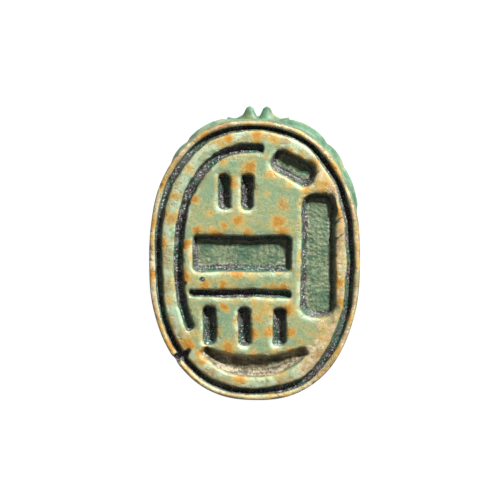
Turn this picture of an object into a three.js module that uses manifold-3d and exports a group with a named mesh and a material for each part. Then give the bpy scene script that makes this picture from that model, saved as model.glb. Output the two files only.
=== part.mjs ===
// Scarab seal: a beetle carved in one piece of glazed steatite, pierced for a string, with a
// flat seal face. It lies on its back: seal face up, head towards +Y. Sizes are millimetres.

import * as THREE from 'three';
import { ParametricGeometry } from 'three/addons/geometries/ParametricGeometry.js';
import { mergeVertices } from 'three/addons/utils/BufferGeometryUtils.js';
import Module from 'manifold-3d';

const wasm = await Module();
wasm.setup();

// Overall sizes
const LENGTH = 17.0;
const WIDTH = 12.8;
const HEIGHT = 7.6;
const OUTLINE_POWER = 2.27;

// Seal plate, with its plain rim and the groove inside it
const PLATE_THICKNESS = 1.15;
const PLATE_BEVEL = 0.1;
const RIM_WIDTH = 0.38;
const BORDER_WIDTH = 0.44;
const BORDER_DEPTH = 0.5;
const BORDER_RUN = 0.14;

// Sunk strokes of the seal face
const STROKE_DEPTH = 0.6;
const WALL_RUN = 0.3;
const LINE_INSET = 1.4;
const LINE_WIDTH = 0.6;
const LINE_DEPTH = 0.5;
const LINE_RUN = 0.2;
const FOOT_BULGE = 0.85;

// Beetle between the plate and the surface it lies on
const FLANK_INSET = 0.75;
const FLANK_BOTTOM = 3.5;
const SHELL_INSET = 0.45;
const SHELL_TOP = 4.15;
const DOME_SPREAD = 2.3;
const DOME_RISE = 2.1;
const CROWN_Y = -0.7;
const REST_FLAT = 0.05;
const COLLAR_Y = 6.2;
const COLLAR_HALF = 3.7;
const COLLAR_SWEEP = 0.7;
const NECK_Z = 3.3;
const SUTURE_Y = 2.0;
const LINE_CUT = 0.2;
const HEAD_WIDTH = 4.7;
const SHIELD_BOTTOM = 3.12;
const SHIELD_TOP = 4.28;

// String bore
const BORE_DIAMETER = 1.4;
const BORE_Z = 5.1;

// Facets
const OUTLINE_STEPS = 70;
const LIMB_SIDES = 8;
const LIMB_STEPS = 8;
const LINE_STEP = 0.8;
const CORNER_STEPS = 3;

// Closed solid from a three.js geometry: only positions, shared corners, no collapsed faces.
function solid(geometry) {
  geometry.deleteAttribute('normal');
  geometry.deleteAttribute('uv');
  const merged = mergeVertices(geometry, 1e-4);
  const corners = merged.index.array;
  const faces = [];
  for (let i = 0; i < corners.length; i += 3) {
    const [a, b, c] = corners.slice(i, i + 3);
    if (a !== b && b !== c && c !== a) faces.push(a, b, c);
  }
  const vertProperties = new Float32Array(merged.attributes.position.array);
  const triVerts = new Uint32Array(faces);
  return new wasm.Manifold(new wasm.Mesh({ numProp: 3, vertProperties, triVerts }));
}

function union(solids) {
  return solids.reduce((whole, piece) => whole.add(piece));
}

// Direction on the unit outline, an oval between an ellipse and a rectangle.
function ovalPoint(turn) {
  const [c, s] = [Math.cos(turn), Math.sin(turn)];
  const gauge = (Math.abs(c) ** OUTLINE_POWER + Math.abs(s) ** OUTLINE_POWER) ** (1 / OUTLINE_POWER);
  return new THREE.Vector2(c / gauge, s / gauge);
}

// Point of the seal's outline, pulled in by an inset.
function outlinePoint(turn, inset) {
  return ovalPoint(turn).multiply(new THREE.Vector2(WIDTH / 2 - inset, LENGTH / 2 - inset));
}

function outlineArc(inset, from, to, steps) {
  const turns = Array.from({ length: steps + 1 }, (_, i) => from + ((to - from) * i) / steps);
  return turns.map((turn) => outlinePoint(turn, inset));
}

function outlineShape(inset) {
  return new THREE.Shape(outlineArc(inset, 0, 2 * Math.PI, OUTLINE_STEPS).slice(0, -1));
}

function extruded(shape, bottom, top, bevel) {
  const geometry = new THREE.ExtrudeGeometry(shape, {
    depth: top - bottom - 2 * bevel,
    curveSegments: 6,
    bevelEnabled: bevel > 0,
    bevelThickness: bevel,
    bevelSize: bevel,
    bevelOffset: -bevel,
    bevelSegments: 1,
  });
  geometry.translate(0, 0, bottom + bevel);
  return solid(geometry);
}

function sealPlate() {
  return extruded(outlineShape(0), HEIGHT - PLATE_THICKNESS, HEIGHT, PLATE_BEVEL);
}

function flank() {
  return extruded(outlineShape(FLANK_INSET), FLANK_BOTTOM, HEIGHT - PLATE_THICKNESS / 2, 0);
}

// Half length of the domed back before or behind its crown.
function shellReach(forward) {
  return LENGTH / 2 - SHELL_INSET - (forward ? CROWN_Y : -CROWN_Y);
}

// Domed back: oval rings grow from the crown, where a small flat spot lets it lie.
function shell() {
  const domeRows = 11;
  const rows = domeRows + 1;
  return solid(new ParametricGeometry((u, v, target) => {
    const climb = Math.min(1, (v * rows) / domeRows) * (Math.PI / 2);
    const spread = v === 1 ? 0 : Math.sin(climb) ** (2 / DOME_SPREAD);
    const rise = SHELL_TOP * (1 - Math.cos(climb) ** (2 / DOME_RISE)) - REST_FLAT;
    const ring = ovalPoint(u * 2 * Math.PI).multiplyScalar(spread);
    const x = ring.x * (WIDTH / 2 - SHELL_INSET);
    const y = ring.y * shellReach(ring.y > 0) + CROWN_Y;
    target.set(x, y, v === 1 ? SHELL_TOP + 0.5 : Math.max(0, rise));
  }, 56, rows));
}

// Front edge of the pronotum, hollow towards the head: everything before it is cut away.
function collarCut() {
  const shape = new THREE.Shape();
  const reach = LENGTH;
  const corner = COLLAR_Y + COLLAR_SWEEP;
  shape.moveTo(-reach, reach);
  shape.lineTo(-reach, corner);
  shape.lineTo(-COLLAR_HALF, corner);
  shape.quadraticCurveTo(0, COLLAR_Y - COLLAR_SWEEP, COLLAR_HALF, corner);
  shape.lineTo(reach, corner);
  shape.lineTo(reach, reach);
  return extruded(shape, -1, NECK_Z, 0);
}

// Toothed head shield: two prongs at the front, a smaller tooth beside each, then the cheeks.
function headShield() {
  const half = [[0, 8.2], [0.14, 8.25], [0.5, 8.65], [0.98, 8.3], [1.35, 8.05], [1.83, 8.15],
    [2.15, 7.5], [HEAD_WIDTH / 2, 6.9], [HEAD_WIDTH / 2, 5.6]];
  const right = half.map(([x, y]) => new THREE.Vector2(x, y));
  const left = right.slice(1).reverse().map((point) => new THREE.Vector2(-point.x, point.y));
  const shape = new THREE.Shape([...right, ...left]);
  return extruded(shape, SHIELD_BOTTOM, SHIELD_TOP, 0.12);
}

function ellipsoid(x, y, z, rx, ry, rz) {
  const geometry = new THREE.SphereGeometry(1, 14, 9);
  geometry.rotateX(Math.PI / 2);
  geometry.scale(rx, ry, rz);
  geometry.translate(x, y, z);
  return solid(geometry);
}

function head() {
  const brow = ellipsoid(0, 6.4, 3.6, 1.75, 1.75, 1.3);
  const eyes = [-1, 1].map((side) => ellipsoid(side * 2.15, 6.6, 3.3, 0.45, 0.7, 0.65));
  return union([headShield(), brow, ...eyes]);
}

// Limb along the flank: a tube through stops of [turn in degrees, inset, height], round at its ends.
function limb(side, stops, halfThickness, halfHeight) {
  const path = new THREE.CatmullRomCurve3(stops.map(([degrees, inset, z]) => {
    const point = outlinePoint(THREE.MathUtils.degToRad(degrees), inset);
    return new THREE.Vector3(side * point.x, point.y, z);
  }));
  const up = new THREE.Vector3(0, 0, 1);
  return solid(new ParametricGeometry((u, v, target) => {
    const reach = (1 - Math.cos(v * Math.PI)) / 2;
    const along = path.getTangentAt(reach);
    const outward = new THREE.Vector3().crossVectors(along, up).normalize();
    const over = new THREE.Vector3().crossVectors(outward, along);
    const swell = v === 1 ? 0 : Math.sin(v * Math.PI) ** 0.7;
    target.copy(path.getPointAt(reach));
    target.addScaledVector(outward, Math.cos(u * 2 * Math.PI) * halfThickness * swell);
    target.addScaledVector(over, -Math.sin(u * 2 * Math.PI) * halfHeight * swell);
  }, LIMB_SIDES, LIMB_STEPS));
}

// Three legs a side: the fore leg reaches round the head with a lobed edge, the others lie back.
function legs(side) {
  return union([
    limb(side, [[0, 0.65, 5.75], [11, 0.55, 5.55], [21, 0.5, 5.1]], 0.42, 0.58),
    limb(side, [[16, 0.5, 4.85], [28, 0.5, 4.9], [41, 0.5, 4.95]], 0.5, 0.68),
    limb(side, [[37, 0.5, 4.95], [43, 0.47, 4.95], [50, 0.5, 4.95]], 0.5, 0.66),
    limb(side, [[46, 0.5, 4.95], [61, 0.5, 4.95], [77, 0.6, 5.0]], 0.5, 0.66),
    limb(side, [[9, 0.7, 4.5], [-3, 0.6, 4.75], [-12, 0.6, 5.2]], 0.44, 0.55),
    limb(side, [[-8, 0.6, 5.1], [-16, 0.6, 5.55], [-25, 0.65, 5.95]], 0.42, 0.42),
    limb(side, [[-13, 0.7, 4.5], [-24, 0.6, 4.75], [-38, 0.6, 5.0]], 0.44, 0.55),
    limb(side, [[-34, 0.6, 4.95], [-50, 0.6, 5.4], [-70, 0.7, 5.95]], 0.42, 0.45),
  ]);
}

// Sunk cut with sloping walls: full width at the face, narrower at its floor.
function sunk(shape, depth, run) {
  const over = 0.05;
  const geometry = new THREE.ExtrudeGeometry(shape, {
    depth: 0.5,
    bevelThickness: depth + over,
    bevelSize: run * (1 + over / depth),
    bevelOffset: -run,
    bevelSegments: 1,
  });
  geometry.translate(0, 0, HEIGHT + over);
  return solid(geometry);
}

// Straight stroke with rounded corners, its length along X before it is turned.
function stroke(x, y, length, width, corner, degrees = 0) {
  const [l, w] = [length / 2 - corner, width / 2 - corner];
  const shape = new THREE.Shape();
  shape.absarc(l, -w, corner, -Math.PI / 2, 0);
  shape.absarc(l, w, corner, 0, Math.PI / 2);
  shape.absarc(-l, w, corner, Math.PI / 2, Math.PI);
  shape.absarc(-l, -w, corner, Math.PI, 1.5 * Math.PI);
  const points = shape.extractPoints(CORNER_STEPS).shape;
  const turn = THREE.MathUtils.degToRad(degrees);
  points.forEach((point) => point.rotateAround(new THREE.Vector2(), turn));
  points.forEach((point) => point.add(new THREE.Vector2(x, y)));
  return new THREE.Shape(points);
}

function borderGroove() {
  const ring = outlineShape(RIM_WIDTH);
  ring.holes.push(outlineShape(RIM_WIDTH + BORDER_WIDTH));
  return sunk(ring, BORDER_DEPTH, BORDER_RUN);
}

// Band along the outline between two turns; its inner edge may bulge towards the middle.
function band(inset, width, degreesFrom, degreesTo, bulge) {
  const [from, to] = [degreesFrom, degreesTo].map(THREE.MathUtils.degToRad);
  const outer = outlineArc(inset, from, to, 24);
  const inner = outlineArc(inset + width, to, from, 24);
  inner.forEach((point, i) => {
    point.y += bulge * (1 - ((2 * i) / 24 - 1) ** 2);
  });
  return new THREE.Shape([...outer, ...inner]);
}

// Curved line inside the border, up the left side and over the top.
function innerLine() {
  return sunk(band(LINE_INSET, LINE_WIDTH, 83, 217, 0), LINE_DEPTH, LINE_RUN);
}

// Arc at the foot of the face: it follows the border and is broadest in the middle.
function footArc() {
  return sunk(band(LINE_INSET, LINE_WIDTH, -135, -45, FOOT_BULGE), STROKE_DEPTH, LINE_RUN);
}

// Rows of plain strokes across the face.
function strokes() {
  const row = (places, y, length, width) => places.map((x) => stroke(x, y, length, width, 0.34, 90));
  const broad = [
    ...row([-1.8, -0.4], 4.2, 2.2, 0.85),
    ...row([-2.7, -0.62, 1.46], -4.05, 2.6, 0.9),
    stroke(-0.75, 0.45, 6.0, 2.3, 0.36),
    stroke(3.8, 0.4, 7.6, 2.15, 0.8, 90),
    stroke(2.3, 5.65, 2.9, 1.5, 0.65, -28),
  ];
  const thin = stroke(-0.85, -1.95, 6.2, 0.52, 0.24);
  return [...broad.map((shape) => sunk(shape, STROKE_DEPTH, WALL_RUN)),
    sunk(thin, LINE_DEPTH, LINE_RUN)];
}

// Height of the domed back over a point of the plan.
function backHeight(x, y) {
  const wide = Math.abs(x / (WIDTH / 2 - SHELL_INSET)) ** OUTLINE_POWER;
  const long = Math.abs((y - CROWN_Y) / shellReach(y > CROWN_Y)) ** OUTLINE_POWER;
  const spread = Math.min(0.999, (wide + long) ** (1 / OUTLINE_POWER));
  const rise = SHELL_TOP * (1 - (1 - spread ** DOME_SPREAD) ** (1 / DOME_RISE));
  return Math.max(0, rise - REST_FLAT);
}

// Incised line on the back through points of the plan: a square bar laid on its edge.
function incised(plan) {
  const path = new THREE.CatmullRomCurve3(plan.map(([x, y]) =>
    new THREE.Vector3(x, y, backHeight(x, y))));
  const corners = [[LINE_CUT, 0], [0, LINE_CUT], [-LINE_CUT, 0], [0, -LINE_CUT]];
  const section = new THREE.Shape(corners.map(([x, y]) => new THREE.Vector2(x, y)));
  const steps = Math.ceil(path.getLength() / LINE_STEP);
  return solid(new THREE.ExtrudeGeometry(section, { steps, extrudePath: path }));
}

function backLines() {
  const across = [-5.6, -4.2, -2.8, -1.4, 0, 1.4, 2.8, 4.2, 5.6].map((x) =>
    [x, SUTURE_Y + 0.03 * x * x]);
  const along = [SUTURE_Y, 0.5, -1, -2.5, -4, -5.5, -7, -7.9].map((y) => [0, y]);
  const shoulders = [-1, 1].map((side) => [[4.3, 2.4], [4.75, 1.7], [5.1, 0.9]].map(([x, y]) =>
    [side * x, y]));
  return [across, along, ...shoulders].map(incised);
}

function bore() {
  const geometry = new THREE.CylinderGeometry(BORE_DIAMETER / 2, BORE_DIAMETER / 2, LENGTH + 2, 16);
  geometry.translate(0, 0, BORE_Z);
  return solid(geometry);
}

function scarab() {
  const back = shell().subtract(collarCut());
  const body = union([sealPlate(), flank(), back, head(), legs(-1), legs(1)]);
  const cuts = [borderGroove(), innerLine(), footArc(), ...strokes(), ...backLines(), bore()];
  return body.subtract(union(cuts));
}

function mesh(name, manifold, material) {
  const { numProp, vertProperties, triVerts } = manifold.getMesh();
  const geometry = new THREE.BufferGeometry();
  geometry.setAttribute('position', new THREE.BufferAttribute(vertProperties, numProp));
  geometry.setIndex(new THREE.BufferAttribute(triVerts, 1));
  geometry.computeVertexNormals();
  geometry.computeBoundingBox();
  const centre = geometry.boundingBox.getCenter(new THREE.Vector3());
  geometry.translate(-centre.x, -centre.y, -geometry.boundingBox.min.z);
  const result = new THREE.Mesh(geometry, material);
  result.name = name;
  return result;
}

const glaze = new THREE.MeshStandardMaterial({ color: 0xa0b98c, roughness: 0.45, metalness: 0 });

const part = new THREE.Group();
part.add(mesh('scarab', scarab(), glaze));

export default part;
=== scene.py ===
"""Scarab seal of glazed steatite: a beetle carved in one piece, lying on its back.

The carved surface is one closed mesh worked out with numpy. The seal face is a height field on
a square grid squeezed into the oval, the rim and its groove are rings, and the flanks and back
are found by walking inwards until the carved beetle is met. Sizes are millimetres with the
crown of the back at height 0 and the seal face on top; they become metres in the mesh.
"""

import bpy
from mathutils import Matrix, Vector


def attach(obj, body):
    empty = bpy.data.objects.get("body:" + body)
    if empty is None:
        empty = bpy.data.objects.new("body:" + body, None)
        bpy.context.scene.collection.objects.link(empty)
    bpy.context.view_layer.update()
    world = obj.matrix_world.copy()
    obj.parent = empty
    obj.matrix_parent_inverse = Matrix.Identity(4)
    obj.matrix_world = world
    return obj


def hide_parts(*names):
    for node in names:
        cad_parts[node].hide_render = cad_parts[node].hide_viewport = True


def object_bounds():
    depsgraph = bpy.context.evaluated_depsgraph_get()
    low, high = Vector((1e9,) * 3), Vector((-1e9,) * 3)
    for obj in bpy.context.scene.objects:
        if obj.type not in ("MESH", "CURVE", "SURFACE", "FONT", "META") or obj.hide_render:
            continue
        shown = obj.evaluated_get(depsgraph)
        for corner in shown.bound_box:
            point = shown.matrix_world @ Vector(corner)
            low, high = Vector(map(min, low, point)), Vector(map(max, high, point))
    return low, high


bl_info = {
    "name": "Scarab Seal",
    "version": (1, 0, 0),
    "blender": (4, 5, 0),
    "location": "3D View > Sidebar > Scarab Seal",
    "description": "Carves, drills and glazes a scarab seal, and sets a small studio for it",
    "category": "Add Mesh",
}

import math

import bpy
import numpy as np
from bpy.props import FloatProperty, FloatVectorProperty, PointerProperty
from mathutils import Matrix, Vector

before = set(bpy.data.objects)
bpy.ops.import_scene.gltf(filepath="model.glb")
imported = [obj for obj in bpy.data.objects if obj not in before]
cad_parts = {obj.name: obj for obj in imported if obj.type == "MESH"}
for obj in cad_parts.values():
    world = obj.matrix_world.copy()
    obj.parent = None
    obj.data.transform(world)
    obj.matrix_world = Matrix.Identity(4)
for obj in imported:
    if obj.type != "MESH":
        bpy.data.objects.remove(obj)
cad_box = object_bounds()

MM = 0.001
NODE = "scarab"

# Overall form, and the shift that sets the tail at the CAD box's near end
LENGTH = 17.0
WIDTH = 12.56
HEIGHT = 7.6
OVAL_POWER = 2.27
SHIFT_Y = cad_box[0].y / MM + LENGTH / 2

# Beetle under the plate
FLANK_INSET = 0.75
SHELL_INSET = 0.45
SHELL_TOP = 4.15
DOME_SPREAD = 2.3
DOME_RISE = 2.1
CROWN_Y = -0.7
REST_FLAT = 0.05
COLLAR_Y = 6.2
COLLAR_HALF = 3.7
COLLAR_SWEEP = 0.7
NECK_Z = 3.3
SUTURE_Y = 2.0
LINE_CUT, LINE_SPREAD = 0.15, 0.11
BORE_Z = 5.1
BORE_DIAMETER = 1.4
BORE_SIDES = 40

# How softly the beetle's forms run into each other
COLLAR_JOIN, FLANK_JOIN, LEG_JOIN = 0.12, 0.06, 0.05
BROW_JOIN, EYE_JOIN = 0.15, 0.08

# Head: levels of the toothed shield, then centre and radii of the brow and the right eye
SHIELD_LOW, SHIELD_HIGH = 2.95, 4.28
SHIELD_THINNING = 0.3
BROW = ((0, 6.4, 3.6), (1.75, 1.75, 1.3))
EYE = ((2.15, 6.6, 3.3), (0.45, 0.7, 0.65))

# Cuts of the seal face: (x, y, length, width, corner radius, turn in degrees)
BROAD_STROKES = (
    (-1.8, 4.2, 2.2, 0.85, 0.34, 90),
    (-0.4, 4.2, 2.2, 0.85, 0.34, 90),
    (-2.7, -3.97, 2.44, 0.9, 0.34, 90),
    (-0.62, -3.97, 2.44, 0.9, 0.34, 90),
    (1.46, -3.97, 2.44, 0.9, 0.34, 90),
    (-0.75, 0.45, 6.0, 2.3, 0.36, 0),
    (3.8, 0.4, 7.6, 2.15, 0.8, 90),
    (2.3, 5.65, 2.9, 1.5, 0.65, -28),
)
THIN_STROKE = (-0.85, -1.95, 6.2, 0.52, 0.24, 0)
BROAD_DEPTH, BROAD_RUN = 0.6, 0.3
FLAT_FLOOR_WIDTH = 1.0
HATCH_PITCH = 0.34

# Cuts that follow the outline: the line on the left and the recess at the foot
BAND_INSET = 1.4
BAND_WIDTH = 0.6
BAND_RADIUS = (LENGTH + WIDTH) / 4 * 0.78
BAND_CORNER = 0.2
LINE_TURN, LINE_HALF = math.radians(150), math.radians(67)
LINE_DEPTH, LINE_RUN = 0.5, 0.2
FOOT_TURN, FOOT_HALF = math.radians(-90), math.radians(41)
FOOT_BULGE = 0.85
FOOT_RUN = 0.4
FOOT_HATCH = 8.0

# Rim, border groove and worn edges
RIM_WIDTH = 0.31
BORDER_WIDTH = 0.42
BORDER_DEPTH = 0.5
PINCH_TURN, PINCH_SPREAD, PINCH = -2.58, math.radians(17), 0.12
SLACK, SLACK_TURN = 0.11, math.radians(-5)
LIP_REACH = 0.32
LIP_DROP = 0.065

# Plate's edge and its underside, from the top down: (inset, drop below the face)
PLATE_EDGE = ((-0.005, 0.16), (0.0, 0.45), (0.01, 0.8), (0.03, 1.05), (0.1, 1.16), (0.42, 1.2))

# Unevenness of the cuts: (reach, cell size, seed across, seed along)
WOBBLES = ((0.06, 1.5, 11, 13), (0.028, 0.45, 12, 14), (0.02, 0.2, 15, 16))

# Legs of one side: stops of (turn in degrees, inset, height), half thickness, half height
LIMBS = (
    (((0, 0.57, 5.75), (11, 0.47, 5.55), (21, 0.42, 5.1)), 0.42, 0.58),
    (((16, 0.42, 4.85), (28, 0.42, 4.9), (41, 0.42, 4.95)), 0.5, 0.68),
    (((37, 0.42, 4.95), (43, 0.39, 4.95), (50, 0.42, 4.95)), 0.5, 0.66),
    (((46, 0.42, 4.95), (61, 0.42, 4.95), (77, 0.52, 5.0)), 0.5, 0.66),
    (((9, 0.62, 4.5), (-3, 0.52, 4.75), (-12, 0.52, 5.2)), 0.44, 0.55),
    (((-8, 0.52, 5.1), (-16, 0.52, 5.55), (-25, 0.57, 5.95)), 0.42, 0.42),
    (((-13, 0.62, 4.5), (-24, 0.52, 4.75), (-38, 0.52, 5.0)), 0.44, 0.55),
    (((-34, 0.52, 4.95), (-50, 0.52, 5.4), (-70, 0.62, 5.95)), 0.42, 0.45),
)

# Chips and pits of the face: (x, y, radius, depth), and the ends of its cracks
DENTS = (
    (-4.68, -5.98, 0.3, 0.45),
    (-4.42, -5.83, 0.26, 0.5),
    (-4.14, -5.7, 0.2, 0.5),
    (3.15, 2.25, 0.2, 0.16),
    (-3.1, -1.12, 0.14, 0.07),
    (-4.1, -1.35, 0.12, 0.06),
)
CRACKS = (
    ((4.72, 2.3), (5.15, 2.72)),
    ((4.78, 1.42), (5.25, 1.75)),
)

# What each point of the surface carries besides its place
MASKS = ("lip", "floor", "hatch", "sunk", "side", "worn")

# Grids of the surface
FACE_COLS, FACE_ROWS = 188, 250
BACK_COLS, BACK_ROWS = 94, 125
FACE_INSET = 1.2
BACK_SHARE = 0.85
FLANK_HIGH, FLANK_LOW = HEIGHT - 1.24, 3.9
FLANK_LEVELS = 26
FLANK_START, FLANK_REACH = -0.35, 1.75
DOME_LEVELS = 7
DOME_START = math.radians(86.9)
DOME_GROWTH = 0.8

# Studio, in metres and degrees
FLOOR_HALF = 0.4
VIEW_SHIFT = 0.24 * MM
KEY_TURN, KEY_HEIGHT = 57, 30
KEY_DISTANCE, KEY_SIZE = 0.3, 0.03


def oval_gauge(across, along):
    """1 on the oval of half sizes 1: (|x|^n + |y|^n)^(1/n)."""
    return (np.abs(across) ** OVAL_POWER + np.abs(along) ** OVAL_POWER) ** (1 / OVAL_POWER)


def oval_ray(turn):
    """Point of the oval of half sizes 1: (cos t, sin t) over their gauge."""
    c, s = np.cos(turn), np.sin(turn)
    gauge = oval_gauge(c, s)
    return c / gauge, s / gauge


def oval(turn, inset=0.0):
    """Point of the outline: the oval of half sizes 1, times the half sizes less an inset."""
    x, y = oval_ray(turn)
    return x * (WIDTH / 2 - inset), y * (LENGTH / 2 - inset)


def oval_inset(x, y):
    """Inset and turn of the outline through a point, where its gauge is 1, found by halving."""
    low = np.full(np.shape(x), -1.0)
    high = np.full(np.shape(x), WIDTH / 2 - 1e-3)
    for _ in range(22):
        inset = (low + high) / 2
        gauge = oval_gauge(x / (WIDTH / 2 - inset), y / (LENGTH / 2 - inset))
        low, high = np.where(gauge < 1, inset, low), np.where(gauge < 1, high, inset)
    return low, np.arctan2(y / (LENGTH / 2 - low), x / (WIDTH / 2 - low))


def noise(x, y, z, cell, seed):
    """Smooth noise from -1 to 1: random values on a lattice, blended by 3t^2 - 2t^3 a side."""
    table = np.random.default_rng(seed).uniform(-1, 1, (32, 32, 32))
    places = [np.asarray(value, float) / cell for value in (x, y, z)]
    base = [np.floor(place).astype(int) for place in places]
    part = [place - low for place, low in zip(places, base)]
    part = [share * share * (3 - 2 * share) for share in part]
    total = 0.0
    for corner in np.ndindex(2, 2, 2):
        index = tuple((low + step) % 32 for low, step in zip(base, corner))
        weight = 1.0
        for share, step in zip(part, corner):
            weight = weight * (share if step else 1 - share)
        total = total + table[index] * weight
    return total


def plan_noise(x, y, cell, seed):
    """Noise that is the same at every height."""
    return noise(x, y, 0 * x, cell, seed)


def smooth_step(value, low, high):
    """0 below low, 1 above high, and 3t^2 - 2t^3 between them."""
    share = np.clip((value - low) / (high - low), 0, 1)
    return share * share * (3 - 2 * share)


def smooth_min(first, second, reach):
    """Smaller of two distances, rounded where they differ by less than reach."""
    share = np.clip(0.5 + 0.5 * (second - first) / reach, 0, 1)
    return second + (first - second) * share - reach * share * (1 - share)


def rounded(across, along, corner):
    """Distance to a rounded rectangle from the distances to its two pairs of sides."""
    outside = np.hypot(np.maximum(across + corner, 0), np.maximum(along + corner, 0))
    return outside + np.minimum(np.maximum(across, along) + corner, 0) - corner


def to_segment(x, y, start, end):
    """Nearest place along a segment, from 0 to 1, and the way from it to each point."""
    side_x, side_y = end[0] - start[0], end[1] - start[1]
    share = ((x - start[0]) * side_x + (y - start[1]) * side_y) / (side_x**2 + side_y**2)
    share = np.clip(share, 0, 1)
    return share, x - start[0] - share * side_x, y - start[1] - share * side_y


def bar_distance(x, y, bar):
    """Distance to a straight stroke, negative inside it, and the place along its length."""
    centre_x, centre_y, length, width, corner, degrees = bar
    c, s = math.cos(math.radians(degrees)), math.sin(math.radians(degrees))
    along = (x - centre_x) * c + (y - centre_y) * s
    across = (y - centre_y) * c - (x - centre_x) * s
    return rounded(np.abs(across) - width / 2, np.abs(along) - length / 2, corner), along


def band_distance(inset, turn, centre, half, bulge=0.0):
    """Distance to a band along the outline, from turn centre - half to centre + half."""
    off = np.abs((turn - centre + math.pi) % (2 * math.pi) - math.pi)
    along = (off - half) * BAND_RADIUS
    inner = inset - BAND_INSET - BAND_WIDTH - bulge * (1 - np.clip(off / half, 0, 1) ** 2)
    return rounded(np.maximum(BAND_INSET - inset, inner), along, BAND_CORNER)


def face_cuts(x, y):
    """Every sunk cut as (distance, depth, wall run, place along it, flat floor, soiled floor)."""
    inset, turn = oval_inset(x, y)
    cuts = []
    for bar in BROAD_STROKES:
        distance, along = bar_distance(x, y, bar)
        cuts.append((distance, BROAD_DEPTH, BROAD_RUN, along, bar[3] > FLAT_FLOOR_WIDTH, False))
    distance, along = bar_distance(x, y, THIN_STROKE)
    cuts.append((distance, LINE_DEPTH, LINE_RUN, along, False, False))
    line = band_distance(inset, turn, LINE_TURN, LINE_HALF)
    cuts.append((line, LINE_DEPTH, LINE_RUN, turn, False, False))
    foot = band_distance(inset, turn, FOOT_TURN, FOOT_HALF, FOOT_BULGE)
    cuts.append((foot, BROAD_DEPTH, FOOT_RUN, turn * FOOT_HATCH, True, True))
    return cuts


def wobbled(x, y):
    """The face's plan with the unevenness of a cut made by hand."""
    across = sum(reach * plan_noise(x, y, cell, seed) for reach, cell, seed, _ in WOBBLES)
    along = sum(reach * plan_noise(x, y, cell, seed) for reach, cell, _, seed in WOBBLES)
    return x + across, y + along


def nearest_cut(x, y):
    """What face_cuts gives for the cut nearest to each point."""
    cuts = face_cuts(*wobbled(x, y))
    pick = np.argmin(np.stack([cut[0] for cut in cuts]), axis=0)
    return [np.choose(pick, [np.broadcast_to(cut[i], x.shape) for cut in cuts])
            for i in range(len(cuts[0]))]


def worn_lip(x, y, distance):
    """Drop of an edge rounded by wear: a square law over a reach that varies along it."""
    reach = LIP_REACH * (1 + 0.5 * plan_noise(x, y, 0.8, 27))
    return LIP_DROP * np.clip(1 - distance / reach, 0, 1) ** 2


def slack(turn):
    """Extra run of the border groove's inner wall on the right, where it is less steep."""
    return SLACK * smooth_step(np.cos(turn - SLACK_TURN), 0.4, 0.9)


def border_edges(turn):
    """Outer and inner inset of the border groove, broad at the tail and pinched lower left."""
    x, y = oval(turn)
    outer = RIM_WIDTH + 0.05 * plan_noise(x, y, 1.6, 41) + 0.025 * plan_noise(x, y, 0.45, 44)
    pinch = np.exp(-(((turn - PINCH_TURN) / PINCH_SPREAD) ** 2))
    width = BORDER_WIDTH - 0.035 * (np.sin(turn) + np.cos(turn)) - PINCH * pinch + slack(turn)
    width += 0.07 * plan_noise(x, y, 1.7, 42) + 0.03 * plan_noise(x, y, 0.5, 45)
    return outer, outer + width


def border_drop(inset, turn):
    """Drop across the rim and its groove, steep outside, and how dark with soil each point is."""
    outer, inner = border_edges(turn)
    steep, within, run = smooth_step(inset - outer, -0.04, 0.11), inner - inset, slack(turn)
    sunk = steep * smooth_step(within, -0.04, 0.2 + run)
    dark = 0.36 * smooth_step(within, -0.04, 0.05) + 0.64 * smooth_step(within - run, 0.09, 0.24)
    edge = 0.09 * np.clip(1 - inset / 0.2, 0, 1) ** 2
    lip = worn_lip(*oval(turn, inset), np.maximum(outer - inset, -within))
    return lip + (BORDER_DEPTH - LIP_DROP) * sunk + edge, steep * dark


def face_height(x, y):
    """Height against the seal face, with masks: worn lips, then walls of 3t^2 - 2t^3."""
    distance, depth, run, along, broad, soiled = nearest_cut(x, y)
    sunk = smooth_step(0.05 - distance, 0, 0.05 + run)
    floor = smooth_step(-distance - run, -0.04, 0.24 + 0.14 * plan_noise(x, y, 0.3, 20)) * broad
    wave = along / HATCH_PITCH + 0.5 * plan_noise(x, y, 1.4, 21) + 0.05 * plan_noise(x, y, 0.3, 18)
    hatch = 0.5 + 0.5 * np.sin(2 * math.pi * wave)
    hatch = hatch * smooth_step(plan_noise(x, y, 0.6, 19), -0.5, 0.2)
    height = -worn_lip(x, y, distance) - (depth - LIP_DROP) * sunk
    height = height - border_drop(*oval_inset(x, y))[0]
    height = height + floor * (0.014 * hatch + 0.03 * plan_noise(x, y, 0.9, 22))
    height = height + 0.03 * plan_noise(x, y, 0.12, 23) * smooth_step(sunk, 0.3, 0.8)
    height = height + 0.02 * plan_noise(x, y, 1.5, 24) + 0.009 * plan_noise(x, y, 0.3, 25)
    within = smooth_step(sunk, 0.1, 0.4)
    lip = (1 - smooth_step(distance, 0.05, 0.3)) * (1 - within)
    return height, (lip, floor, floor * hatch, sunk, 0 * x, soiled * within)


def dents(x, y):
    """Depth of chips, pits and cracks of the face, and how dark each leaves the stone."""
    depth, dark = 0.0 * x, 0.0 * x
    for centre_x, centre_y, radius, deep in DENTS:
        ragged = 1 + 0.3 * plan_noise(x, y, 0.22, 31)
        away = np.hypot(x - centre_x, y - centre_y) / (radius * ragged)
        fall = np.exp(-(away**4))
        depth, dark = np.maximum(depth, deep * fall), np.maximum(dark, fall)
    bend = 0.06 * plan_noise(x, y, 0.2, 32)
    for start, end in CRACKS:
        _, across, along = to_segment(x, y, start, end)
        fall = np.exp(-((np.hypot(across + bend, along) / 0.05) ** 2))
        depth, dark = np.maximum(depth, 0.05 * fall), np.maximum(dark, 0.9 * fall)
    return depth, dark


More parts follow.
